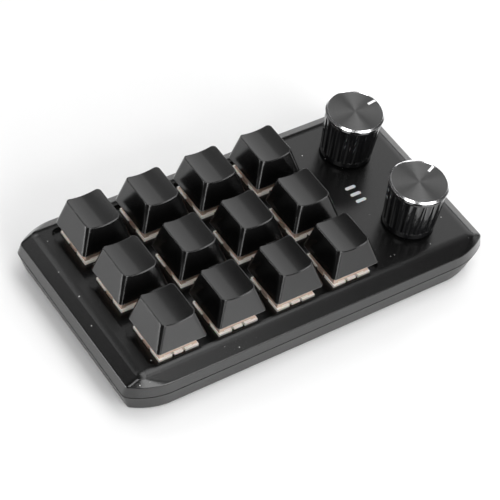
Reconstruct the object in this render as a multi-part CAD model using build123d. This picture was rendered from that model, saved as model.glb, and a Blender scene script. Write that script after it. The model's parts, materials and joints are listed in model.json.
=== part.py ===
from build123d import *
import math
import os

os.makedirs("parts", exist_ok=True)

# Macro keypad: twelve mechanical keys in three rows, two press-and-turn knobs and three light bars.
# Sizes are in millimetres. +Z is up, +X runs from the keys to the knobs, -Y is the user's side.
# The origin is on the desk, below the centre of the case.

# Case outline, at the seam between the two shells, where the case is widest
case_length = 143.5
case_width = 77.5
sweep_radius = 25.0         # each corner leaves the long side in a gentle sweep
sweep_angle = 35.0
turn_radius = 2.5           # and then turns tightly onto the short side
least_turn = 1.5            # tightest corner inside and below

# Case heights
foot_stand = 1.0            # how far the feet hold the lower shell off the desk
lower_height = 8.1          # lower shell, from its underside to the seam
band_height = 4.1           # upright side band of the upper shell
bevel_height = 3.0          # sloping shoulder between the band and the flat top
band_inset = 0.8            # draft of the side band over its height
bevel_inset = 5.0           # plan width of the sloping shoulder
facet_height = 2.2          # how far a steeper facet climbs the shoulder at the corners
shoulder_radii = (3.0, 2.0)  # the two arcs of the shoulder's corners above the facets
lower_end_inset = 3.0       # how far the lower shell draws in at its short sides
lower_side_inset = 1.6      # how far it draws in at its long sides
crest_radius = 5.0          # soft change from the flat top to the shoulder
band_edge_radius = 0.8      # crisp edge between the shoulder and the side band
bottom_edge_radius = 1.2

# Shell walls and the joint between the shells
wall = 2.4
floor_thickness = 2.0
shoulder_wall = 1.2         # upright distance from the band to the hollow below the shoulder
plate_thickness = 1.5       # the well floor is the plate that the switches clip into
lip_thickness = 1.1
lip_height = 1.5
lip_gap = 0.1
reveal_height = 0.3         # fine groove in the upper shell that shows as the seam line
reveal_depth = 0.9
ledge_height = 1.4          # thickened rim of the lower shell that carries the lip
ledge_slope = 1.2

# Key block and its shallow well
key_pitch = 22.5
key_columns = 4
key_rows = 3
key_block_x = -16.4
well_depth = 1.5
well_margin_x = 11.2        # from the outer key centres to the ends of the well
well_margin_y = 9.3
well_corner = 3.0

# Mechanical switch, heights measured from the plate's top face
switch_hole = 14.0
switch_fit = 0.05           # clearance of the switch body in its plate hole, each side
flange_x = 14.7
flange_y = 15.6
flange_thickness = 1.0
notch_width = 5.0           # gap in each flange side, where the clips sit
tab_width = 3.2
tab_lift = 0.35             # the clip tab's lower edge above the plate
slit_depth = 1.2
latch_reach = 0.4           # how far the cover's latch tabs stand out from the body
latch_rise = 0.8            # height of the latch tabs above the flange
latch_gap = 0.05
body_depth = 5.0            # plate's top face to the circuit board
housing_floor = 0.8
housing_wall = 1.2
post_diameter = 3.9
post_length = 3.3
upper_base = 14.2
upper_top_x = 11.2
upper_top_y = 10.4
upper_height = 6.6
upper_roof = 1.0
upper_wall = 0.75           # cover's wall near its top
joint_length = 10.4         # relief at the foot of the cover, front and back
joint_height = 0.35
joint_depth = 0.6
stem_length_x = 7.0
stem_length_y = 5.6
stem_gap = 0.3
stem_skirt = 6.0            # height of the slider
stem_opening_depth = 2.0
retainer_length = 9.0
retainer_thickness = 1.2
retainer_gap = 0.05
cross_length = 4.0
cross_thickness = 1.2
cross_height = 3.6
key_travel = 4.0
stop_gap = 0.6              # left below the stem's pole at full travel
pole_diameter = 2.0
pole_gap = 0.2
guide_wall = 0.5            # collar on the housing's floor that guides the pole
guide_height = 2.2
guide_floor = 1.3           # closed end of the post below the guide
spring_seat = 2.6           # top of the spring below the slider's top
spring_wire = 0.35
spring_gap = 0.15           # spring to the collar inside it and to the stem's bore
leaf_thickness = 0.3
leaf_width = 1.8
leaf_height = 5.0
leaf_spacing = 5.0
leaf_offset = 4.7
pin_width = 0.8
pin_root = 1.5              # length of the pin inside the leaf
pin_gap = 0.1

# Keycap
cap_base_x = 18.6
cap_base_y = 18.0
cap_base_corner = 1.3
cap_top_x = 12.5
cap_top_y = 14.0
cap_top_corner = 1.7
cap_top_shift = 1.9         # the top sits behind the middle of the base
cap_clearance = 5.6         # skirt's lower edge above the plate
cap_height = 8.9
cap_dish = 1.1              # depth of the cylindrical hollow in the top
cap_wall = 1.4
cap_roof = 1.5
cap_boss = 5.5
cross_fit = 0.05
cross_relief = 0.2          # slot's depth past the end of the cross
cap_edge_radius = 0.35

# Circuit board
board_thickness = 1.6
board_corner = 3.0
board_gap = 0.3             # board's edge to the shells

# Components on the underside of the board
chip_size = 7.0
chip_height = 0.9
chip_x = 26.0
diode_length = 2.7
diode_width = 1.6
diode_height = 1.1
diode_offset = 7.4

# USB-C socket
socket_width = 8.94
socket_height = 3.2
socket_length = 7.3
socket_shell = 0.3
socket_mouth_depth = 6.0
socket_tongue_width = 6.7
socket_tongue_thickness = 0.7
socket_tongue_recess = 0.5
socket_recess = 0.5         # mouth behind the outer face of the wall
socket_x = 20.0
socket_gap = 0.15

# Indicator light bars
light_x = 40.7
light_count = 3
light_pitch = 3.2
light_length = 4.2
light_width = 1.3
light_gap = 0.05
light_carrier_margin = 1.4
light_carrier_thickness = 1.2
led_length = 3.0
led_width = 1.5
led_height = 0.9

# Rotary encoders and knobs
knob_x = 49.4
knob_spacing = 36.7
encoder_size_x = 11.7
encoder_size_y = 12.2
encoder_height = 6.0
encoder_hole_gap = 0.3
encoder_shell = 1.0
collar_diameter = 7.0
collar_height = 5.0
shaft_diameter = 6.0
shaft_fit = 0.05
shaft_top_gap = 0.6
shaft_flat_depth = 1.5
shaft_flat_length = 9.0
shaft_foot_diameter = 8.0
shaft_foot_thickness = 1.0
shaft_foot_gap = 0.3
shaft_end_play = 0.1
plunger_diameter = 3.0
plunger_height = 1.2
knob_travel = 0.5
knob_stand = 0.7            # knob's lower edge above the case at rest
knob_height = 18.9
knob_radius = 10.2          # polished ring at the top
knob_grip_radius = 10.0     # fluted grip, which narrows towards the case
knob_base_radius = 9.1
knob_foot_height = 2.0      # plain foot below the flutes
knob_ring_height = 0.9
knob_ring_chamfer = 0.6
knob_groove = 0.5
knob_edge = 0.3             # small chamfer at the grip's top and the foot
knob_face_recess = 0.15
knob_wall = 0.9
knob_roof = 2.2
knob_flutes = 24
flute_radius = 2.3
flute_depth = 0.32
flute_margin = 0.7          # plain band between the flutes and the groove
hub_diameter = 11.0
hub_web = 1.5
hub_fit = 0.05
hub_gap = 0.5               # hub's lower end above the collar with the knob pressed
pointer_length = 3.3
pointer_width = 0.9
pointer_depth = 0.4
pointer_edge = 0.15         # pointer's outer end inside the spun face
pointer_back_angle = 8.0
pointer_front_angle = 22.5

# Screws and feet
screw_x = 64.5
screw_y = 28.5
boss_diameter = 6.0
screw_diameter = 2.4
screw_fit = 0.05
screw_hole_gap = 0.2
screw_head_diameter = 4.6
screw_head_height = 1.7
screw_head_gap = 0.2
screw_head_sink = 2.6
screw_engagement = 4.4
cross_slot_length = 2.6
cross_slot_width = 0.6
cross_slot_depth = 0.9
screw_tip_gap = 0.4
boss_split = 1.1            # the bosses of the two shells meet this far below the seam
boss_root = 0.2             # how far a boss or post runs into its shell
foot_diameter = 10.0
foot_x = 55.0
foot_y = 26.5
foot_recess = 0.8
foot_fit = 0.05
foot_edge = 0.4
board_post_diameter = 4.0

# Levels
lower_z = foot_stand
seam_z = lower_z + lower_height
band_z = seam_z + band_height
top_z = band_z + bevel_height
plate_z = top_z - well_depth
plate_under_z = plate_z - plate_thickness
board_z = plate_z - body_depth
board_under_z = board_z - board_thickness
floor_z = lower_z + floor_thickness
upper_z = plate_z + flange_thickness
switch_top_z = plate_z + upper_height
cap_z = plate_z + cap_clearance
cap_top_z = cap_z + cap_height
lip_outer = wall + lip_gap  # insets of the lip's two faces from the outline at the seam
lip_inner = lip_outer + lip_thickness
spring_z = board_z + housing_floor
spring_top_z = switch_top_z - spring_seat
guide_z = board_z - post_length + guide_floor
pole_z = guide_z + stop_gap + key_travel
guide_bore = pole_diameter + 2 * pole_gap
spring_inner = guide_bore + 2 * (guide_wall + spring_gap)
spring_outer = spring_inner + 2 * spring_wire
housing_size = switch_hole - 2 * switch_fit
housing_room = housing_size - 2 * housing_wall
socket_z = board_under_z - socket_height / 2
board_length = 2 * (screw_x - boss_diameter / 2 - board_gap)
board_width = case_width - 2 * (lip_inner + board_gap)
shaft_z = board_z + encoder_shell + shaft_end_play + knob_travel + plunger_height
hub_z = board_z + encoder_height + collar_height + knob_travel + hub_gap
knob_face_radius = knob_radius - knob_ring_chamfer
knob_z = top_z + knob_stand
knob_top_z = knob_z + knob_height
boss_z = seam_z - boss_split


def key_places():
    """Centre of every key with its name: rows a to c from the back, columns 1 to 4 from the left."""
    places = []
    for row in range(key_rows):
        for column in range(key_columns):
            x = key_block_x + (column - (key_columns - 1) / 2) * key_pitch
            y = ((key_rows - 1) / 2 - row) * key_pitch
            places.append(("abcdefgh"[row] + str(column + 1), x, y))
    return places


KEYS = key_places()
KNOBS = [
    ("back", knob_spacing / 2, pointer_back_angle),
    ("front", -knob_spacing / 2, pointer_front_angle),
]
CORNERS = [(sx, sy) for sx in (-1, 1) for sy in (-1, 1)]


def block(x, y, z, dx, dy, dz):
    """A box centred on x and y that stands on z."""
    return Pos(x, y, z) * Box(dx, dy, dz, align=(Align.CENTER, Align.CENTER, Align.MIN))


def rod(x, y, z, radius, height):
    """An upright cylinder that stands on z."""
    return Pos(x, y, z) * Cylinder(radius, height, align=(Align.CENTER, Align.CENTER, Align.MIN))


def rectangle(z, dx, dy, y=0, corner=0):
    """A horizontal rectangle at height z, for lofts."""
    plan = RectangleRounded(dx, dy, corner) if corner else Rectangle(dx, dy)
    return Plane.XY.offset(z) * Pos(0, y) * plan


def outline(z, inset_x, inset_y, radii=None):
    """The case's outline at height z, drawn in by the two insets. Each corner is a sweep and a turn."""
    inset = (inset_x + inset_y) / 2
    sweep, turn = radii or (sweep_radius - inset, max(turn_radius - inset, least_turn))
    half_x = case_length / 2 - inset_x
    half_y = case_width / 2 - inset_y
    share = math.sin(math.radians(sweep_angle))
    start_x = half_x - turn * (1 - share) - sweep * share
    gentle = JernArc((start_x, half_y), (1, 0), sweep, -sweep_angle)
    tight = JernArc(gentle @ 1, gentle % 1, turn, sweep_angle - 90)
    end_y = (tight @ 1).Y
    edge = Curve() + [gentle, tight]
    edge += mirror(edge, Plane.YZ)
    edge += mirror(edge, Plane.XZ)
    edge += [Line((-start_x, side * half_y), (start_x, side * half_y)) for side in (-1, 1)]
    edge += [Line((side * half_x, -end_y), (side * half_x, end_y)) for side in (-1, 1)]
    return Plane.XY.offset(z) * make_face(edge)


def save(name, shape):
    """Write one sub-part. A list holds the separate solids of a group of like pieces."""
    if isinstance(shape, list):
        shape = Compound(children=shape)
    export_step(shape, "parts/" + name + ".step")


def top_case():
    """Upper shell: side band, sloping shoulder, flat top, key well and switch plate in one moulding."""
    shoulder_inset = band_inset + bevel_inset
    facet_inset = band_inset + bevel_inset * facet_height / bevel_height
    sections = [
        outline(seam_z, 0, 0),
        outline(band_z, band_inset, band_inset),
        outline(band_z + facet_height, facet_inset, facet_inset, shoulder_radii),
        outline(top_z, shoulder_inset, shoulder_inset, shoulder_radii),
    ]
    shell = loft(sections[:2], ruled=True)
    shell += loft(sections[1:3], ruled=True)
    shell += loft(sections[2:], ruled=True)
    shell = fillet(shell.faces().sort_by(Axis.Z)[-1].edges(), crest_radius)
    arris = [e for e in shell.edges() if abs(e.bounding_box().min.Z - band_z) < 0.01
             and abs(e.bounding_box().max.Z - band_z) < 0.01]
    shell = fillet(arris, band_edge_radius)

    # Hollow inside. It turns in below the shoulder, so that the wall stays even
    turn_z = band_z - shoulder_wall
    under_inset = wall + bevel_inset * (plate_under_z - turn_z) / bevel_height
    shell -= loft([outline(seam_z, wall, wall), outline(turn_z, wall, wall)], ruled=True)
    shell -= loft(
        [outline(turn_z, wall, wall), outline(plate_under_z, under_inset, under_inset)], ruled=True
    )

    # Fine groove at the foot of the side band
    ring = extrude(outline(seam_z, -reveal_depth, -reveal_depth), reveal_height)
    shell -= ring - extrude(outline(seam_z, reveal_depth, reveal_depth), reveal_height)

    # The well, the plate's square holes, and openings for the encoders and the light bars
    well_x = (key_columns - 1) * key_pitch + 2 * well_margin_x
    well_y = (key_rows - 1) * key_pitch + 2 * well_margin_y
    well = extrude(rectangle(plate_z, well_x, well_y, corner=well_corner), 2 * well_depth)
    cuts = [Pos(key_block_x, 0, 0) * well]
    depth = top_z - plate_under_z + 2
    for _, x, y in KEYS:
        cuts.append(block(x, y, plate_under_z - 1, switch_hole, switch_hole, depth))
    for _, y, _ in KNOBS:
        cuts.append(block(knob_x, y, plate_under_z - 1, encoder_size_x + 2 * encoder_hole_gap,
                          encoder_size_y + 2 * encoder_hole_gap, depth))
    cuts += light_bars(plate_under_z - 1, depth, light_gap)
    shell -= cuts

    # Screw bosses, which reach down to those of the lower shell
    boss_height = plate_under_z - boss_z + boss_root
    for sx, sy in CORNERS:
        shell += rod(sx * screw_x, sy * screw_y, boss_z, boss_diameter / 2, boss_height)
    shell -= [rod(sx * screw_x, sy * screw_y, boss_z, screw_diameter / 2 + screw_fit, screw_engagement)
              for sx, sy in CORNERS]
    return shell


def tray_section(z, inset):
    """Section of the lower shell at height z, a given inset inside its tapered outer face."""
    taper = (seam_z - z) / lower_height
    return outline(z, inset + taper * lower_end_inset, inset + taper * lower_side_inset)


def bottom_case():
    """Lower shell: a shallow tray whose lip locates the upper shell, with bosses and board posts."""
    tray = loft([tray_section(lower_z, 0), tray_section(seam_z, 0)], ruled=True)
    tray = fillet(tray.faces().sort_by(Axis.Z)[0].edges(), bottom_edge_radius)
    tray += extrude(outline(seam_z, lip_outer, lip_outer), lip_height)
    ledge_z = seam_z - ledge_height
    slope_z = ledge_z - ledge_slope
    tray -= loft([tray_section(floor_z, wall), tray_section(slope_z, wall)], ruled=True)
    tray -= loft([tray_section(slope_z, wall), outline(ledge_z, lip_inner, lip_inner)], ruled=True)
    tray -= extrude(outline(ledge_z, lip_inner, lip_inner), ledge_height + lip_height)

    # Bosses for the screws and posts that carry the board
    root_z = floor_z - boss_root
    for sx, sy in CORNERS:
        tray += rod(sx * screw_x, sy * screw_y, root_z, boss_diameter / 2, boss_z - root_z)
    for x, y in board_posts():
        tray += rod(x, y, root_z, board_post_diameter / 2, board_under_z - root_z)

    # Counterbored screw holes, recesses for the feet, and the mouth for the socket in the back wall
    cuts = []
    for sx, sy in CORNERS:
        x, y = sx * screw_x, sy * screw_y
        cuts.append(rod(x, y, 0, screw_diameter / 2 + screw_hole_gap, seam_z))
        cuts.append(rod(x, y, 0, screw_head_diameter / 2 + screw_head_gap, lower_z + screw_head_sink))
        cuts.append(rod(sx * foot_x, sy * foot_y, 0, foot_diameter / 2 + foot_fit, lower_z + foot_recess))
    mouth = Plane.XZ.offset(-case_width / 2) * Pos(socket_x, socket_z) * SlotOverall(
        socket_width + 2 * socket_gap, socket_height + 2 * socket_gap
    )
    cuts.append(extrude(mouth, 2 * lip_inner))
    return tray - cuts


def board_posts():
    """Places of the posts under the board: between the keys, and beside the two encoders."""
    half = key_pitch / 2
    posts = [(key_block_x + i * key_pitch, side * half) for i in (-1, 0, 1) for side in (-1, 1)]
    return posts + [(knob_x, 0)]


def pin_places():
    """Places of the two contact pins of a switch, from its centre."""
    return [(-leaf_spacing / 2, leaf_offset), (leaf_spacing / 2, leaf_offset)]


def circuit_board():
    """Board with holes for the switch posts and contact pins."""
    board = extrude(rectangle(board_under_z, board_length, board_width, corner=board_corner),
                    board_thickness)
    holes = []
    for _, x, y in KEYS:
        holes.append(rod(x, y, board_under_z, post_diameter / 2 + pin_gap, board_thickness))
        for pin_x, pin_y in pin_places():
            holes.append(rod(x + pin_x, y + pin_y, board_under_z, pin_width / 2 + 2 * pin_gap,
                             board_thickness))
    return board - holes


def lower_housing():
    """Switch base: flange on the plate, body through the plate, post through the board."""
    body = block(0, 0, board_z, housing_size, housing_size, upper_z - board_z)
    body += block(0, 0, plate_z, flange_x, flange_y, flange_thickness)
    body += rod(0, 0, board_z - post_length, post_diameter / 2, post_length)

    # Room inside for the stem and the contacts, with a collar that guides the stem's pole
    body -= block(0, 0, spring_z, housing_room, housing_room, body_depth + flange_thickness)
    body += rod(0, 0, spring_z, guide_bore / 2 + guide_wall, guide_height)
    body -= rod(0, 0, guide_z, guide_bore / 2, spring_z + guide_height - guide_z)
    hole = pin_width + 2 * pin_gap
    body -= [block(px, py, board_z, hole, hole, housing_floor) for px, py in pin_places()]

    # Front and back: a springy clip tab between two slits. Sides: a notch for the cover's latch
    rim_x = (flange_x - housing_size) / 2
    rim_y = (flange_y - housing_size) / 2
    slit_width = (notch_width - tab_width) / 2
    slit_middle = (notch_width + tab_width) / 4
    cuts = []
    for side in (-1, 1):
        cuts.append(block(side * (flange_x - rim_x) / 2, 0, plate_z, rim_x, notch_width, flange_thickness))
        cuts.append(block(0, side * (flange_y - rim_y) / 2, plate_z, tab_width, rim_y, tab_lift))
        for hand in (-1, 1):
            cuts.append(block(hand * slit_middle, side * flange_y / 2, plate_z - slit_depth, slit_width,
                              2 * (rim_y + slit_depth), flange_thickness + slit_depth))
    return body - cuts


def upper_housing():
    """Switch cover: tapered, with an opening for the stem and a latch tab on either side."""
    base_room = upper_base - 2 * housing_wall
    shell = loft(
        [rectangle(upper_z, upper_base, upper_base), rectangle(switch_top_z, upper_top_x, upper_top_y)],
        ruled=True,
    )
    shell -= loft(
        [
            rectangle(upper_z, base_room, base_room),
            rectangle(switch_top_z - upper_roof, upper_top_x - 2 * upper_wall, upper_top_y - 2 * upper_wall),
        ],
        ruled=True,
    )
    shell -= block(0, 0, switch_top_z - stem_opening_depth, stem_length_x + 2 * stem_gap,
                   stem_length_y + 2 * stem_gap, stem_opening_depth)
    for side in (-1, 1):
        middle = side * (housing_size / 2 + latch_gap + latch_reach / 2)
        shell += block(middle, 0, plate_z, latch_reach, tab_width, flange_thickness + latch_rise)
        shell -= block(0, side * (upper_base - joint_depth) / 2, upper_z, joint_length, joint_depth,
                       joint_height)
    return shell


def contact_leaf():
    """Springy contact: an upright leaf on the housing's floor with a pin through the board."""
    leaf = block(0, 0, spring_z, leaf_width, leaf_thickness, leaf_height)
    pin_z = board_z - post_length
    return leaf + block(0, 0, pin_z, pin_width, leaf_thickness, spring_z - pin_z + pin_root)


def stem():
    """Sliding stem: cross on top, hollow slider, shoulders that stop it, and a guide pole."""
    slider_z = switch_top_z - stem_skirt
    slider = block(0, 0, slider_z, stem_length_x, stem_length_y, stem_skirt)
    retainer_z = switch_top_z - upper_roof - retainer_gap - retainer_thickness
    slider += block(0, 0, retainer_z, retainer_length, stem_length_y, retainer_thickness)
    slider -= rod(0, 0, slider_z, spring_outer / 2 + spring_gap, spring_top_z - slider_z)
    slider += rod(0, 0, pole_z, pole_diameter / 2, switch_top_z - pole_z)
    slider += block(0, 0, switch_top_z, cross_length, cross_thickness, cross_height)
    slider += block(0, 0, switch_top_z, cross_thickness, cross_length, cross_height)
    return slider


def spring():
    """Return spring, drawn as the sleeve that its coils fill."""
    length = spring_top_z - spring_z
    return rod(0, 0, spring_z, spring_outer / 2, length) - rod(0, 0, spring_z, spring_inner / 2, length)


def keycap():
    """Sculpted keycap: it leans back, its top is a cylindrical hollow, and its edges are soft."""
    outer = loft(
        [
            rectangle(cap_z, cap_base_x, cap_base_y, corner=cap_base_corner),
            rectangle(cap_top_z, cap_top_x, cap_top_y, y=cap_top_shift, corner=cap_top_corner),
        ],
        ruled=True,
    )
    dish_radius = ((cap_top_x / 2) ** 2 + cap_dish ** 2) / (2 * cap_dish)
    dish_axis_z = cap_top_z - cap_dish + dish_radius
    outer -= Pos(0, 0, dish_axis_z) * Rot(90, 0, 0) * Cylinder(dish_radius, 2 * cap_base_y)
    top_face = outer.faces().filter_by(GeomType.CYLINDER).sort_by(Axis.Z)[-1]
    outer = fillet(top_face.edges(), cap_edge_radius)

    # Hollow underneath, which follows the slopes outside
    roof_z = cap_top_z - cap_dish - cap_roof
    rise = (roof_z - cap_z) / cap_height
    base_room_x = cap_base_x - 2 * cap_wall
    base_room_y = cap_base_y - 2 * cap_wall
    roof_room_x = base_room_x - rise * (cap_base_x - cap_top_x)
    roof_room_y = base_room_y - rise * (cap_base_y - cap_top_y)
    outer -= loft(
        [
            rectangle(cap_z, base_room_x, base_room_y),
            rectangle(roof_z, roof_room_x, roof_room_y, y=rise * cap_top_shift),
        ],
        ruled=True,
    )

    # Socket for the stem's cross
    outer += rod(0, 0, switch_top_z, cap_boss / 2, roof_z + boss_root - switch_top_z)
    slot_long = cross_length + 2 * cross_fit
    slot_wide = cross_thickness + 2 * cross_fit
    slot_deep = cross_height + cross_relief
    outer -= block(0, 0, switch_top_z, slot_long, slot_wide, slot_deep)
    return outer - block(0, 0, switch_top_z, slot_wide, slot_long, slot_deep)


def light_places():
    """Distances of the light bars from the middle one, from front to back."""
    return [(i - (light_count - 1) / 2) * light_pitch for i in range(light_count)]


def light_bars(z, height, grow):
    """The light bars from z upwards, grown sideways for their slots."""
    plan = Plane.XY.offset(z) * Pos(light_x, 0) * SlotOverall(light_length + 2 * grow,
                                                             light_width + 2 * grow)
    bar = extrude(plan, height)
    return [Pos(0, y, 0) * bar for y in light_places()]


def light_guide():
    """One clear moulding: bars that fill the slots and stand on a carrier under the top."""
    carrier_x = light_length + 2 * light_carrier_margin
    carrier_y = (light_count - 1) * light_pitch + light_width + 2 * light_carrier_margin
    guide = block(light_x, 0, plate_under_z - light_carrier_thickness, carrier_x, carrier_y,
                  light_carrier_thickness)
    for bar in light_bars(plate_under_z, top_z - plate_under_z, 0):
        guide += bar
    return guide


def usb_c_socket():
    """Metal shell, open at the back, with the contact tongue inside."""
    taper = lower_side_inset * (seam_z - socket_z) / lower_height
    mouth = Plane.XZ.offset(socket_recess + taper - case_width / 2) * Pos(socket_x, socket_z)
    shell = extrude(mouth * SlotOverall(socket_width, socket_height), socket_length)
    shell -= extrude(
        mouth * SlotOverall(socket_width - 2 * socket_shell, socket_height - 2 * socket_shell),
        socket_mouth_depth,
    )
    tongue = Plane.XZ.offset(socket_recess + taper + socket_tongue_recess - case_width / 2)
    tongue_plan = tongue * Pos(socket_x, socket_z) * Rectangle(socket_tongue_width,
                                                               socket_tongue_thickness)
    return shell + extrude(tongue_plan, socket_mouth_depth)


def encoder_body():
    """Encoder case on the board with its collar, bored for the shaft and hollow for its foot."""
    body = block(0, 0, board_z, encoder_size_x, encoder_size_y, encoder_height)
    body += rod(0, 0, board_z + encoder_height, collar_diameter / 2, collar_height)
    floor = board_z + encoder_shell
    body -= rod(0, 0, floor, shaft_diameter / 2 + shaft_fit,
                encoder_height + collar_height - encoder_shell)
    room_height = shaft_z + shaft_foot_thickness + shaft_end_play - floor
    return body - rod(0, 0, floor, shaft_foot_diameter / 2 + shaft_foot_gap, room_height)


def encoder_shaft():
    """Shaft with a foot that keeps it in the encoder and a flat for the knob's hub."""
    height = knob_top_z - knob_roof - shaft_top_gap - shaft_z
    shaft = rod(0, 0, 0, shaft_diameter / 2, height)
    shaft += rod(0, 0, 0, shaft_foot_diameter / 2, shaft_foot_thickness)
    flat_x = shaft_diameter / 2 - shaft_flat_depth
    shaft -= block(flat_x + shaft_diameter / 2, 0, height - shaft_flat_length, shaft_diameter,
                   shaft_diameter, shaft_flat_length)
    return Pos(0, 0, shaft_z) * shaft


def push_plunger():
    """Actuator between the shaft's foot and the push switch in the encoder's floor."""
    return rod(0, 0, shaft_z - plunger_height, plunger_diameter / 2, plunger_height)


def pointer_line():
    """The pointer's inlay in the knob's face, with the pointer along +X."""
    middle = knob_face_radius - pointer_edge - pointer_length / 2
    face_z = knob_top_z - knob_face_recess
    return block(middle, 0, face_z - pointer_depth, pointer_length, pointer_width, pointer_depth)


def knob():
    """Fluted knob, a turned cup: foot, tapered grip, groove, polished ring and spun face."""
    ring_z = knob_height - knob_ring_height
    grip_z = ring_z - knob_groove
    inner = knob_base_radius - knob_wall
    profile = Polyline(
        (0, knob_height - knob_roof),
        (inner, knob_height - knob_roof),
        (inner, 0),
        (knob_base_radius - knob_edge, 0),
        (knob_base_radius, knob_edge),
        (knob_base_radius, knob_foot_height),
        (knob_grip_radius, grip_z - knob_edge),
        (knob_grip_radius - knob_edge, grip_z),
        (knob_grip_radius - knob_groove, grip_z),
        (knob_grip_radius - knob_groove, ring_z),
        (knob_radius, ring_z),
        (knob_radius, knob_height - knob_ring_chamfer),
        (knob_face_radius, knob_height),
        (knob_face_radius - knob_face_recess, knob_height - knob_face_recess),
        (0, knob_height - knob_face_recess),
        close=True,
    )
    solid = Pos(0, 0, knob_z) * revolve(make_face(Plane.XZ * profile), Axis.Z)

    # Flutes, tilted to follow the grip's taper
    grip_height = grip_z - knob_edge - knob_foot_height
    tilt = math.degrees(math.atan2(knob_grip_radius - knob_base_radius, grip_height))
    cutter = rod(0, 0, 0, flute_radius, grip_height - flute_margin)
    cutter = Pos(knob_base_radius + flute_radius - flute_depth, 0, knob_z + knob_foot_height) * (
        Rot(0, tilt, 0) * cutter
    )
    solid -= [Rot(0, 0, (i + 0.5) * 360 / knob_flutes) * cutter for i in range(knob_flutes)]
    return solid - pointer_line()


def knob_hub():
    """Moulded hub pressed into the knob, with a flat-sided bore for the shaft."""
    height = knob_top_z - knob_roof - hub_z
    hub = rod(0, 0, 0, hub_diameter / 2, height)
    hub += rod(0, 0, height - hub_web, knob_base_radius - knob_wall - hub_fit, hub_web)
    bore = rod(0, 0, 0, shaft_diameter / 2 + hub_fit, height - shaft_top_gap / 2)
    flat_x = shaft_diameter / 2 - shaft_flat_depth + hub_fit
    flat_length = shaft_flat_length - shaft_top_gap
    bore -= block(flat_x + shaft_diameter / 2, 0, height - flat_length, shaft_diameter, hub_diameter,
                  flat_length)
    return Pos(0, 0, hub_z) * (hub - bore)


def case_screw():
    """Screw from below, with a cross recess in its head."""
    head_z = lower_z + screw_head_sink - screw_head_height
    screw = rod(0, 0, head_z, screw_head_diameter / 2, screw_head_height)
    screw += rod(0, 0, head_z, screw_diameter / 2, boss_z + screw_engagement - screw_tip_gap - head_z)
    screw -= block(0, 0, head_z, cross_slot_length, cross_slot_width, cross_slot_depth)
    return screw - block(0, 0, head_z, cross_slot_width, cross_slot_length, cross_slot_depth)


def rubber_foot():
    """Round foot, pressed into its recess."""
    pad = rod(0, 0, 0, foot_diameter / 2, foot_stand + foot_recess)
    return chamfer(pad.edges().sort_by(Axis.Z)[0], foot_edge)


def at_keys(shape):
    """A copy of a switch piece at every key."""
    return [Pos(x, y, 0) * shape for _, x, y in KEYS]


def at_corners(shape, x, y):
    """A copy of a piece at each corner of the case."""
    return [Pos(sx * x, sy * y, 0) * shape for sx, sy in CORNERS]


save("top_case", top_case())
save("bottom_case", bottom_case())
save("case_screws", at_corners(case_screw(), screw_x, screw_y))
save("rubber_feet", at_corners(rubber_foot(), foot_x, foot_y))

save("circuit_board", circuit_board())
save("usb_c_socket", usb_c_socket())
save("controller_chip", block(chip_x, 0, board_under_z - chip_height, chip_size, chip_size, chip_height))
diode = block(0, -diode_offset, board_under_z - diode_height, diode_length, diode_width, diode_height)
save("key_diodes", at_keys(diode))
lamp = block(light_x, 0, board_z, led_length, led_width, led_height)
save("indicator_leds", [Pos(0, y, 0) * lamp for y in light_places()])
save("light_guide", light_guide())

leaf = contact_leaf()
save("lower_housings", at_keys(lower_housing()))
save("upper_housings", at_keys(upper_housing()))
save("contact_leaves", [copy for x, y in pin_places() for copy in at_keys(Pos(x, y, 0) * leaf)])

moving_pieces = {"keycap": keycap(), "stem": stem(), "spring": spring()}
for name, x, y in KEYS:
    for piece, shape in moving_pieces.items():
        save(piece + "_" + name, Pos(x, y, 0) * shape)

save("encoder_bodies", [Pos(knob_x, y, 0) * encoder_body() for _, y, _ in KNOBS])
turning_pieces = {
    "knob": knob(),
    "knob_pointer": pointer_line(),
    "knob_hub": knob_hub(),
    "encoder_shaft": encoder_shaft(),
    "push_plunger": push_plunger(),
}
for name, y, angle in KNOBS:
    for piece, shape in turning_pieces.items():
        save(piece + "_" + name, Pos(knob_x, y, 0) * Rot(0, 0, angle) * shape)
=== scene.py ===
import bpy
import json
import math
from mathutils import Matrix, Vector


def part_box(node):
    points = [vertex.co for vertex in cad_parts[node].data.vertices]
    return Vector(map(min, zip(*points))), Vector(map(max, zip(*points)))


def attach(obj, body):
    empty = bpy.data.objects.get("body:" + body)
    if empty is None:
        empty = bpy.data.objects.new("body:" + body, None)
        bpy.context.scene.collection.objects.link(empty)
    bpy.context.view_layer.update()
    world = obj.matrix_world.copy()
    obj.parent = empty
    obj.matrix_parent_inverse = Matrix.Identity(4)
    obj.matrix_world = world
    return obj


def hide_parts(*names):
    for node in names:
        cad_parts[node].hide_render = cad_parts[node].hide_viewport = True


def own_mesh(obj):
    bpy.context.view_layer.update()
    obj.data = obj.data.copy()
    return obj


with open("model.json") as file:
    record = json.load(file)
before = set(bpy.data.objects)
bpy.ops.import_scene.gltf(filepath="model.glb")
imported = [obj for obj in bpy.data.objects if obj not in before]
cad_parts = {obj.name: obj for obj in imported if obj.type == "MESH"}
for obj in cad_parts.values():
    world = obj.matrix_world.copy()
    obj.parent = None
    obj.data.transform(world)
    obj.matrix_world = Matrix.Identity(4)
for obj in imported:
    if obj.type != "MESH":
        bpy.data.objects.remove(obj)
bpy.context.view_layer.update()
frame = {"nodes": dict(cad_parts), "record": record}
print("frame loaded")

mm = 0.001
noiseMiddle = 0.5  # a noise runs from 0 to 1 about this

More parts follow.
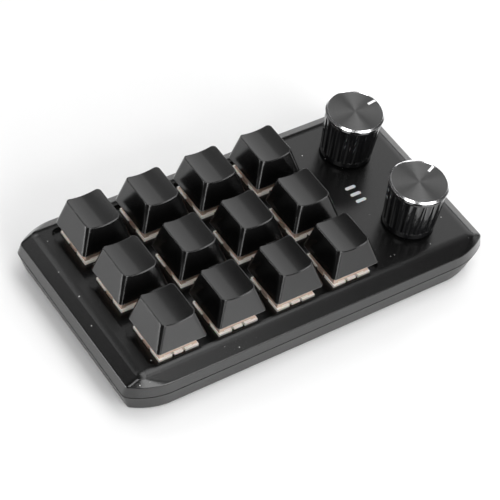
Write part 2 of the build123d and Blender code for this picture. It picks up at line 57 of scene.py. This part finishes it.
# camera, as found from the key grid in the photograph, its distances and target in millimetres
cameraSettings = {
    "focalPixels": 1966.7,
    "imagePixels": 500,
    "sensor": 36.0,
    "azimuth": -42.72,
    "elevation": 47.30,
    "roll": 12.02,
    "distance": 645.2,
    "shiftRight": 11.26,
    "shiftUp": 1.39,
    "target": (-16.4, 0.0, 14.05),
    "clip": (0.01, 20.0),  # in metres
}


def addCamera(s):
    az = math.radians(s["azimuth"])
    el = math.radians(s["elevation"])
    roll = math.radians(s["roll"])
    back = Vector((math.sin(az) * math.cos(el), -math.cos(az) * math.cos(el), math.sin(el)))
    right = (-back).cross(Vector((0, 0, 1))).normalized()
    up = right.cross(-back)
    rolledRight = math.cos(roll) * right + math.sin(roll) * up
    rolledUp = -math.sin(roll) * right + math.cos(roll) * up
    place = Vector(s["target"]) + s["distance"] * back
    place += s["shiftRight"] * rolledRight + s["shiftUp"] * rolledUp
    data = bpy.data.cameras.new("camera")
    data.sensor_width = s["sensor"]
    data.lens = s["focalPixels"] * s["sensor"] / s["imagePixels"]
    data.clip_start, data.clip_end = s["clip"]
    camera = bpy.data.objects.new("camera", data)
    bpy.context.scene.collection.objects.link(camera)
    turn = Matrix((rolledRight, rolledUp, back)).transposed().to_4x4()
    camera.matrix_world = Matrix.Translation(place * mm) @ turn
    bpy.context.scene.camera = camera


addCamera(cameraSettings)
print("camera placed")


# shared effects, each a node group that is built once
def newGroup(name, inputs, outputs):
    group = bpy.data.node_groups.new(name, "ShaderNodeTree")
    for label, value in inputs:
        socket = group.interface.new_socket(label, in_out="INPUT", socket_type="NodeSocketFloat")
        socket.default_value = value
    for label, kind in outputs:
        group.interface.new_socket(label, in_out="OUTPUT", socket_type=kind)
    nodes = group.nodes
    return group, nodes.new("NodeGroupInput"), nodes.new("NodeGroupOutput")


def mathNode(tree, operation, first, second, clamp=False):
    node = tree.nodes.new("ShaderNodeMath")
    node.operation = operation
    node.use_clamp = clamp
    for socket, value in zip(node.inputs, (first, second)):
        if isinstance(value, (int, float)):
            socket.default_value = value
        else:
            tree.links.new(value, socket)
    return node.outputs[0]


def noiseNode(tree, coordinates, scale, detail):
    noise = tree.nodes.new("ShaderNodeTexNoise")
    noise.inputs["Detail"].default_value = detail
    tree.links.new(coordinates, noise.inputs["Vector"])
    tree.links.new(scale, noise.inputs["Scale"])
    return noise.outputs["Fac"]


def objectSpace(tree):
    return tree.nodes.new("ShaderNodeTexCoord").outputs["Object"]


# moulded grain: a fine height and a slow drift in sheen
grainSettings = {"fineDetail": 3.0, "slowDetail": 4.0, "fineSwing": 0.12}


def buildGrain(s):
    group, given, result = newGroup(
        "mouldedGrain",
        [("Grain Scale", 2600.0), ("Drift Scale", 60.0), ("Roughness", 0.3), ("Drift", 0.06)],
        [("Height", "NodeSocketFloat"), ("Roughness", "NodeSocketFloat"), ("Shade", "NodeSocketFloat")],
    )
    place = objectSpace(group)
    fine = noiseNode(group, place, given.outputs["Grain Scale"], s["fineDetail"])
    slow = noiseNode(group, place, given.outputs["Drift Scale"], s["slowDetail"])
    centred = mathNode(group, "SUBTRACT", slow, noiseMiddle)
    drift = mathNode(group, "MULTIPLY", centred, given.outputs["Drift"])
    swing = mathNode(group, "MULTIPLY", mathNode(group, "SUBTRACT", fine, noiseMiddle), s["fineSwing"])
    rough = mathNode(group, "ADD", given.outputs["Roughness"], mathNode(group, "ADD", drift, swing))
    group.links.new(fine, result.inputs["Height"])
    group.links.new(rough, result.inputs["Roughness"])
    group.links.new(slow, result.inputs["Shade"])
    return group


# soft edges: a rounded normal, and a mask where the surface turns
bevelSamples = 4


def buildSoftEdge():
    group, given, result = newGroup(
        "softEdge",
        [("Radius", 0.0001), ("Strength", 6.0)],
        [("Normal", "NodeSocketVector"), ("Edge", "NodeSocketFloat")],
    )
    bevel = group.nodes.new("ShaderNodeBevel")
    bevel.samples = bevelSamples
    group.links.new(given.outputs["Radius"], bevel.inputs["Radius"])
    geometry = group.nodes.new("ShaderNodeNewGeometry")
    dot = group.nodes.new("ShaderNodeVectorMath")
    dot.operation = "DOT_PRODUCT"
    group.links.new(bevel.outputs[0], dot.inputs[0])
    group.links.new(geometry.outputs["Normal"], dot.inputs[1])
    turned = mathNode(group, "SUBTRACT", 1.0, dot.outputs["Value"])
    edge = mathNode(group, "MULTIPLY", turned, given.outputs["Strength"], clamp=True)
    group.links.new(bevel.outputs[0], result.inputs["Normal"])
    group.links.new(edge, result.inputs["Edge"])
    return group


# dust: a few tiny pale specks on faces that look up
dustUpLimit = 0.45  # least upward part of the normal that holds dust


def buildDust():
    group, given, result = newGroup(
        "dustSpecks",
        [("Cells", 260.0), ("Share", 0.04), ("Size", 0.07)],
        [("Mask", "NodeSocketFloat")],
    )
    cells = group.nodes.new("ShaderNodeTexVoronoi")
    group.links.new(objectSpace(group), cells.inputs["Vector"])
    group.links.new(given.outputs["Cells"], cells.inputs["Scale"])
    parts = group.nodes.new("ShaderNodeSeparateColor")
    group.links.new(cells.outputs["Color"], parts.inputs[0])
    chosen = mathNode(group, "LESS_THAN", parts.outputs["Red"], given.outputs["Share"])
    size = mathNode(group, "MULTIPLY", parts.outputs["Green"], given.outputs["Size"])
    near = mathNode(group, "LESS_THAN", cells.outputs["Distance"], size)
    geometry = group.nodes.new("ShaderNodeNewGeometry")
    axes = group.nodes.new("ShaderNodeSeparateXYZ")
    group.links.new(geometry.outputs["Normal"], axes.inputs[0])
    up = mathNode(group, "GREATER_THAN", axes.outputs["Z"], dustUpLimit)
    mask = mathNode(group, "MULTIPLY", mathNode(group, "MULTIPLY", chosen, near), up)
    group.links.new(mask, result.inputs["Mask"])
    return group


grainGroup = buildGrain(grainSettings)
softEdgeGroup = buildSoftEdge()
dustGroup = buildDust()
print("effects built")


def newMaterial(name, s):
    material = bpy.data.materials.new(name)
    material.use_nodes = True
    shader = material.node_tree.nodes["Principled BSDF"]
    shader.inputs["Base Color"].default_value = (*s["colour"], 1)
    shader.inputs["Roughness"].default_value = s["roughness"]
    shader.inputs["Metallic"].default_value = s.get("metallic", 0.0)
    shader.inputs["Coat Weight"].default_value = s.get("coat", 0.0)
    shader.inputs["Coat Roughness"].default_value = s.get("coatRoughness", 0.1)
    shader.inputs["IOR"].default_value = s.get("ior", 1.5)
    shader.inputs["Anisotropic"].default_value = s.get("anisotropy", 0.0)
    shader.inputs["Anisotropic Rotation"].default_value = s.get("grainTurn", 0.0)
    shader.inputs["Subsurface Weight"].default_value = s.get("scatter", 0.0)
    shader.inputs["Subsurface Scale"].default_value = s.get("scatterDepth", 0.001)
    return material


def placeGroup(tree, group, values):
    node = tree.nodes.new("ShaderNodeGroup")
    node.node_tree = group
    for label, value in values.items():
        node.inputs[label].default_value = value
    return node


def mixColour(tree, factor, first, second):
    mix = tree.nodes.new("ShaderNodeMix")
    mix.data_type = "RGBA"
    tree.links.new(factor, mix.inputs["Factor"])
    for socket, value in ((mix.inputs[6], first), (mix.inputs[7], second)):
        if isinstance(value, tuple):
            socket.default_value = (*value, 1)
        else:
            tree.links.new(value, socket)
    return mix.outputs[2]


def finishMoulded(name, s):
    # moulded plastic, rubber or paint: grain, soft edges, a painted highlight along the edges, and dust
    material = newMaterial(name, s)
    tree = material.node_tree
    shader = tree.nodes["Principled BSDF"]
    grain = placeGroup(tree, grainGroup, {
        "Grain Scale": s["grainScale"], "Drift Scale": s["driftScale"],
        "Roughness": s["roughness"], "Drift": s["drift"],
    })
    edge = placeGroup(tree, softEdgeGroup, {"Radius": s["edgeRadius"], "Strength": s["edgeStrength"]})
    colour = mixColour(tree, grain.outputs["Shade"], s["colour"], s["shade"])
    # painted highlight: the colour turns lighter where the surface turns, standing for the light that edges
    # catch
    colour = mixColour(tree, edge.outputs["Edge"], colour, s["paintedEdgeHighlight"])
    for cells, share, size in s.get("specks", ()):
        dust = placeGroup(tree, dustGroup, {"Cells": cells, "Share": share, "Size": size})
        colour = mixColour(tree, dust.outputs["Mask"], colour, s["dust"])
    bump = tree.nodes.new("ShaderNodeBump")
    bump.inputs["Strength"].default_value = s["bump"]
    bump.inputs["Distance"].default_value = s["bumpDepth"]
    tree.links.new(grain.outputs["Height"], bump.inputs["Height"])
    tree.links.new(edge.outputs["Normal"], bump.inputs["Normal"])
    tree.links.new(colour, shader.inputs["Base Color"])
    # painted light: an emission of the surface colour makes the part glow though it is no lamp
    if s.get("paintedGlow"):
        tree.links.new(colour, shader.inputs["Emission Color"])
        shader.inputs["Emission Strength"].default_value = s["paintedGlow"]
    tree.links.new(grain.outputs["Roughness"], shader.inputs["Roughness"])
    tree.links.new(bump.outputs[0], shader.inputs["Normal"])
    return material


# black shell, satin caps and cream switches; specks are (cells, share, size) of the dust; each edge colour
# is a painted highlight
caseFinish = {
    "colour": (0.002, 0.002, 0.002),
    "shade": (0.0035, 0.0035, 0.0035),
    "paintedEdgeHighlight": (0.06, 0.06, 0.06),
    "roughness": 0.24,
    "drift": 0.08,
    "driftScale": 45.0,
    "grainScale": 2300.0,
    "bump": 0.6,
    "bumpDepth": 0.000025,
    "edgeRadius": 0.00012,
    "edgeStrength": 1.5,
    "dust": (0.4, 0.4, 0.39),
    "specks": [(210.0, 0.06, 0.075), (640.0, 0.14, 0.16)],
}
capFinish = {
    "colour": (0.002, 0.002, 0.002),
    "shade": (0.0035, 0.0035, 0.0035),
    # the caps' edge colour is a strong painted highlight along the dish and the corners
    "paintedEdgeHighlight": (0.50, 0.50, 0.50),
    "roughness": 0.18,
    "drift": 0.07,
    "driftScale": 90.0,
    "grainScale": 3200.0,
    "bump": 0.2,
    "bumpDepth": 0.000012,
    "edgeRadius": 0.00022,
    "edgeStrength": 4.0,
    "dust": (0.4, 0.4, 0.39),
    "specks": [(330.0, 0.02, 0.06)],
}
housingFinish = {
    "colour": (0.84, 0.79, 0.72),
    "shade": (0.88, 0.84, 0.78),
    "paintedEdgeHighlight": (0.92, 0.88, 0.82),
    "roughness": 0.38,
    "drift": 0.05,
    "driftScale": 160.0,
    "grainScale": 3000.0,
    "bump": 0.1,
    "bumpDepth": 0.00001,
    "edgeRadius": 0.0001,
    "edgeStrength": 1.0,
    "scatter": 0.15,
    "scatterDepth": 0.0006,
    # painted light: the cream glows a little so that it looks lit in the shade of the caps
    "paintedGlow": 0.1,
}
# painted shade: the covers are the cream nylon made darker and browner, for the shade they sit in under the
# caps
shadedCoverFinish = dict(
    housingFinish, colour=(0.50, 0.37, 0.30), shade=(0.56, 0.43, 0.35), paintedEdgeHighlight=(0.66, 0.52, 0.44), paintedGlow=0.0,
)
stemFinish = dict(
    housingFinish, colour=(0.50, 0.33, 0.26), shade=(0.55, 0.37, 0.30), paintedEdgeHighlight=(0.6, 0.42, 0.34), paintedGlow=0.0,
)
chipFinish = dict(capFinish, colour=(0.018, 0.018, 0.018), roughness=0.5, specks=[])
rubberFinish = dict(
    capFinish, colour=(0.017, 0.017, 0.017), shade=(0.022, 0.022, 0.021), paintedEdgeHighlight=(0.04, 0.04, 0.04),
    roughness=0.72, grainScale=1500.0, bump=0.5, bumpDepth=0.00004, specks=[],
)
hubFinish = dict(capFinish, colour=(0.016, 0.016, 0.017), roughness=0.45, specks=[])
lowerFinish = dict(caseFinish, roughness=0.42, ior=1.28)
lightBarFinish = dict(
    housingFinish, colour=(0.60, 0.61, 0.63), shade=(0.66, 0.67, 0.69), paintedEdgeHighlight=(0.7, 0.7, 0.7),
    # painted light: a faint glow that lightens the unlit bar
    roughness=0.32, scatter=0.3, paintedGlow=0.04,
)
# the pointer keeps the housing's painted glow
pointerFinish = dict(
    housingFinish, colour=(0.90, 0.90, 0.90), shade=(0.93, 0.93, 0.93), paintedEdgeHighlight=(0.95, 0.95, 0.95), scatter=0.0,
)

# glossy grip: near-mirror black whose sharp flute edges catch the light, with a faint painted highlight
# along them
knobGripFinish = {
    "colour": (0.004, 0.004, 0.0045),
    "shade": (0.006, 0.006, 0.0065),
    "paintedEdgeHighlight": (0.02, 0.02, 0.02),
    "roughness": 0.1,
    "drift": 0.03,
    "driftScale": 120.0,
    "grainScale": 1800.0,
    "bump": 0.03,
    "bumpDepth": 0.000008,
    "edgeRadius": 0.00014,
    "edgeStrength": 1.0,
}

# metals: turned ring, nickel, blackened screws, spring steel and gold contacts
metalFinish = {
    "metallic": 1.0,
    "scratch": 0.1,
    "grainScale": 5200.0,
    "driftScale": 300.0,
    "darkest": 0.82,
    "edgeRadius": 0.00006,
    "edgeStrength": 1.0,
}
ringFinish = dict(metalFinish, colour=(0.90, 0.90, 0.91), roughness=0.2, scratch=0.05)
nickelFinish = dict(metalFinish, colour=(0.66, 0.66, 0.65), roughness=0.24, scratch=0.12)
screwFinish = dict(metalFinish, colour=(0.10, 0.10, 0.105), roughness=0.34)
springFinish = dict(metalFinish, colour=(0.60, 0.60, 0.61), roughness=0.28)
contactFinish = dict(metalFinish, colour=(0.78, 0.58, 0.30), roughness=0.26)


def finishMetal(name, s):
    material = newMaterial(name, s)
    tree = material.node_tree
    shader = tree.nodes["Principled BSDF"]
    grain = placeGroup(tree, grainGroup, {
        "Grain Scale": s["grainScale"], "Drift Scale": s["driftScale"],
        "Roughness": s["roughness"], "Drift": s["scratch"],
    })
    tree.links.new(grain.outputs["Roughness"], shader.inputs["Roughness"])
    darker = tuple(s["darkest"] * part for part in s["colour"])
    tree.links.new(mixColour(tree, grain.outputs["Shade"], darker, s["colour"]), shader.inputs["Base Color"])
    edge = placeGroup(tree, softEdgeGroup, {"Radius": s["edgeRadius"], "Strength": s["edgeStrength"]})
    tree.links.new(edge.outputs["Normal"], shader.inputs["Normal"])
    return material


# spun face: dark anodised metal with fine rings about the knob's axis
spunFinish = {
    "colour": (0.13, 0.13, 0.13),
    "roughness": 0.38,
    "metallic": 1.0,
    "anisotropy": 0.9,
    "grainTurn": 0.25,
    "rings": 90.0,
    "ringSwing": 0.22,
    "ringBump": 0.35,
    "ringDepth": 0.000012,
    "ringShade": (0.065, 0.065, 0.065),
}


def finishSpun(name, s):
    material = newMaterial(name, s)
    tree = material.node_tree
    shader = tree.nodes["Principled BSDF"]
    tangent = tree.nodes.new("ShaderNodeTangent")
    tangent.direction_type = "RADIAL"
    tangent.axis = "Z"
    tree.links.new(tangent.outputs[0], shader.inputs["Tangent"])
    # the generated coordinates run from 0 to 1 across the knob, so the axis is at 0.5
    flat = tree.nodes.new("ShaderNodeVectorMath")
    flat.operation = "MULTIPLY_ADD"
    tree.links.new(tree.nodes.new("ShaderNodeTexCoord").outputs["Generated"], flat.inputs[0])
    flat.inputs[1].default_value = (1, 1, 0)
    flat.inputs[2].default_value = (-0.5, -0.5, 0)
    length = tree.nodes.new("ShaderNodeVectorMath")
    length.operation = "LENGTH"
    tree.links.new(flat.outputs["Vector"], length.inputs[0])
    rings = tree.nodes.new("ShaderNodeTexNoise")
    rings.noise_dimensions = "1D"
    rings.inputs["Scale"].default_value = s["rings"]
    tree.links.new(length.outputs["Value"], rings.inputs["W"])
    ring = rings.outputs["Fac"]
    swing = mathNode(tree, "MULTIPLY", mathNode(tree, "SUBTRACT", ring, noiseMiddle), s["ringSwing"])
    tree.links.new(mathNode(tree, "ADD", swing, s["roughness"]), shader.inputs["Roughness"])
    tree.links.new(mixColour(tree, ring, s["ringShade"], s["colour"]), shader.inputs["Base Color"])
    bump = tree.nodes.new("ShaderNodeBump")
    bump.inputs["Strength"].default_value = s["ringBump"]
    bump.inputs["Distance"].default_value = s["ringDepth"]
    tree.links.new(ring, bump.inputs["Height"])
    tree.links.new(bump.outputs[0], shader.inputs["Normal"])
    return material


# one material for each slot of the record
materials = {
    "case": finishMoulded("casePlastic", caseFinish),
    "keycap": finishMoulded("capPlastic", capFinish),
    "switch_housing": finishMoulded("creamNylon", housingFinish),
    "stem": finishMoulded("stemAcetal", stemFinish),
    "spring": finishMetal("springSteel", springFinish),
    "contact": finishMetal("contactGold", contactFinish),
    "chip": finishMoulded("chipPackage", chipFinish),
    "metal": finishMetal("nickelPlate", nickelFinish),
    "screw": finishMetal("blackScrew", screwFinish),
    "foot": finishMoulded("footRubber", rubberFinish),
    "light_bar": finishMoulded("lightBarPlastic", lightBarFinish),
    "knob": finishMoulded("knobGloss", knobGripFinish),
    "pointer": finishMoulded("pointerPaint", pointerFinish),
    "hub": finishMoulded("hubNylon", hubFinish),
}
spunFace = finishSpun("knobSpunFace", spunFinish)
polishedRing = finishMetal("knobPolishedRing", ringFinish)


# board: dark green mask with copper runs that show through as a lighter green
boardFinish = {
    "colour": (0.008, 0.035, 0.017),
    "run": (0.014, 0.062, 0.030),
    "roughness": 0.36,
    "coat": 0.3,
    "runScale": 210.0,
    "runWidth": 0.06,
    "bump": 0.3,
    "bumpDepth": 0.00002,
}


def finishBoard(name, s):
    material = newMaterial(name, s)
    tree = material.node_tree
    shader = tree.nodes["Principled BSDF"]
    cells = tree.nodes.new("ShaderNodeTexVoronoi")
    cells.feature = "DISTANCE_TO_EDGE"
    cells.inputs["Scale"].default_value = s["runScale"]
    tree.links.new(objectSpace(tree), cells.inputs["Vector"])
    run = mathNode(tree, "LESS_THAN", cells.outputs["Distance"], s["runWidth"])
    tree.links.new(mixColour(tree, run, s["colour"], s["run"]), shader.inputs["Base Color"])
    bump = tree.nodes.new("ShaderNodeBump")
    bump.inputs["Strength"].default_value = s["bump"]
    bump.inputs["Distance"].default_value = s["bumpDepth"]
    tree.links.new(run, bump.inputs["Height"])
    tree.links.new(bump.outputs[0], shader.inputs["Normal"])
    return material


materials["board"] = finishBoard("boardGreen", boardFinish)
slotOf = {p["node"]: p["material_slot"] for p in frame["record"]["subparts"]}
for name, node in frame["nodes"].items():
    node.data.materials.clear()
    node.data.materials.append(materials[slotOf[name]])
# the upper housings get the darker copy of the cream nylon with painted shade
frame["nodes"]["upper_housings"].data.materials[0] = finishMoulded("coverNylonPaintedShade", shadedCoverFinish)
frame["nodes"]["bottom_case"].data.materials[0] = finishMoulded("lowerPlastic", lowerFinish)
print("materials set")


# knobs: the face is spun metal and the chamfer round it is polished, the rest is the glossy grip
knobZones = {
    "faceBelowTop": 0.2,  # in millimetres, as the next
    "ringBelowTop": 0.62,
    "flat": 0.98,  # upward part of the normal, as the next two
    "ringSlope": (0.5, 0.9),
    "underside": -0.5,
}


def dressKnob(node, s):
    mesh = node.data
    mesh.materials.append(spunFace)
    mesh.materials.append(polishedRing)
    spunIndex, ringIndex = 1, 2
    top = max(vertex.co.z for vertex in mesh.vertices)
    for polygon in mesh.polygons:
        below = (top - polygon.center.z) / mm
        if below < s["faceBelowTop"] and polygon.normal.z > s["flat"]:
            polygon.material_index = spunIndex
        elif below < s["ringBelowTop"] and s["ringSlope"][0] < polygon.normal.z < s["ringSlope"][1]:
            polygon.material_index = ringIndex
        elif below < s["faceBelowTop"] and polygon.normal.z > s["underside"]:
            polygon.material_index = ringIndex


for end in ("back", "front"):
    dressKnob(frame["nodes"]["knob_" + end], knobZones)
print("knobs dressed")


# return springs: each sleeve of the CAD becomes a coil
coilSettings = {"turns": 9, "steps": 20, "wire": 0.35 * mm, "wireRoundness": 1}


def addCoil(key, s):
    node = "spring_" + key
    low, high = (Vector(corner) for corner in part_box(node))
    middle = (low + high) / 2
    thick = s["wire"] / 2
    radius = (high.x - low.x) / 2 - thick
    count = s["turns"] * s["steps"]
    curve = bpy.data.curves.new("coilPath", "CURVE")
    curve.dimensions = "3D"
    curve.bevel_depth = thick
    curve.bevel_resolution = s["wireRoundness"]
    path = curve.splines.new("POLY")
    path.points.add(count)
    for i, point in enumerate(path.points):
        angle = 2 * math.pi * i / s["steps"]
        rise = low.z + thick + (high.z - low.z - 2 * thick) * i / count
        point.co = (middle.x + radius * math.cos(angle), middle.y + radius * math.sin(angle), rise, 1)
    helper = bpy.data.objects.new("coilPath", curve)
    mesh = bpy.data.meshes.new_from_object(helper)
    bpy.data.objects.remove(helper)
    coil = bpy.data.objects.new("coil_" + key, mesh)
    bpy.context.scene.collection.objects.link(coil)
    mesh.materials.clear()
    mesh.materials.append(materials["spring"])
    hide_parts(node)
    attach(coil, "base")
    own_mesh(coil)


for joint in frame["record"]["behaviour"]["joints"]:
    if joint["name"].startswith("press_"):
        addCoil(joint["name"].removeprefix("press_"), coilSettings)
print("springs wound")


# floor: white desk, brighter where the glossy parts mirror it
floorSettings = {
    "half": 3.0,
    "colour": (0.86, 0.86, 0.86),
    "mirrored": (1.5, 1.5, 1.5),
    "roughness": 0.25,
    "lift": 0.04,
}


def addFloor(s):
    half = s["half"]
    mesh = bpy.data.meshes.new("floor")
    mesh.from_pydata([(-half, -half, 0), (half, -half, 0), (half, half, 0), (-half, half, 0)], [],
                     [(0, 1, 2, 3)])
    floor = bpy.data.objects.new("floor", mesh)
    bpy.context.scene.collection.objects.link(floor)
    material = newMaterial("floorWhite", s)
    tree = material.node_tree
    shader = tree.nodes["Principled BSDF"]
    shader.inputs["Emission Color"].default_value = (1, 1, 1, 1)
    path = tree.nodes.new("ShaderNodeLightPath")
    seen = mathNode(tree, "MULTIPLY", path.outputs["Is Camera Ray"], s["lift"])
    tree.links.new(seen, shader.inputs["Emission Strength"])
    shade = mixColour(tree, path.outputs["Is Glossy Ray"], s["colour"], s["mirrored"])
    tree.links.new(shade, shader.inputs["Base Color"])
    mesh.materials.append(material)


# lamps: soft boxes round the desk, each with its azimuth from the user's side towards the knobs,
# its elevation, width and height in degrees, and its radiance
lampSettings = {
    "centre": (0, 0, 0.02),
    "distance": 1.5,
    "world": 0.05,
    "boxes": [
        ("keyBox", 116, 30, 42, 42, 1.45),
        ("fillBox", 170, 42, 40, 32, 0.65),
        ("backBox", -162, 45, 36, 20, 1.9),
        ("highBox", 26, 64, 24, 22, 3.0),
        ("topBox", 100, 78, 30, 30, 3.2),
        ("frontBox", 4, 25, 46, 36, 5.6),
        ("cornerBox", -62, 50, 24, 14, 6.0),
        ("leftBox", -104, 5, 34, 20, 9.0),
    ],
}


def addLamps(s):
    world = bpy.data.worlds.new("studio")
    bpy.context.scene.world = world
    world.use_nodes = True
    world.node_tree.nodes["Background"].inputs["Color"].default_value = (1, 1, 1, 1)
    world.node_tree.nodes["Background"].inputs["Strength"].default_value = s["world"]
    for name, azimuth, elevation, wide, high, radiance in s["boxes"]:
        az, el = math.radians(azimuth), math.radians(elevation)
        way = Vector((math.sin(az) * math.cos(el), -math.cos(az) * math.cos(el), math.sin(el)))
        data = bpy.data.lights.new(name, "AREA")
        data.shape = "RECTANGLE"
        data.size = 2 * s["distance"] * math.tan(math.radians(wide / 2))
        data.size_y = 2 * s["distance"] * math.tan(math.radians(high / 2))
        data.energy = radiance * math.pi * data.size * data.size_y
        lamp = bpy.data.objects.new(name, data)
        bpy.context.scene.collection.objects.link(lamp)
        lamp.location = Vector(s["centre"]) + s["distance"] * way
        lamp.rotation_euler = (-way).to_track_quat("-Z", "Y").to_euler()


addFloor(floorSettings)
addLamps(lampSettings)
print("stage lit")

bpy.context.scene.view_settings.view_transform = "Standard"
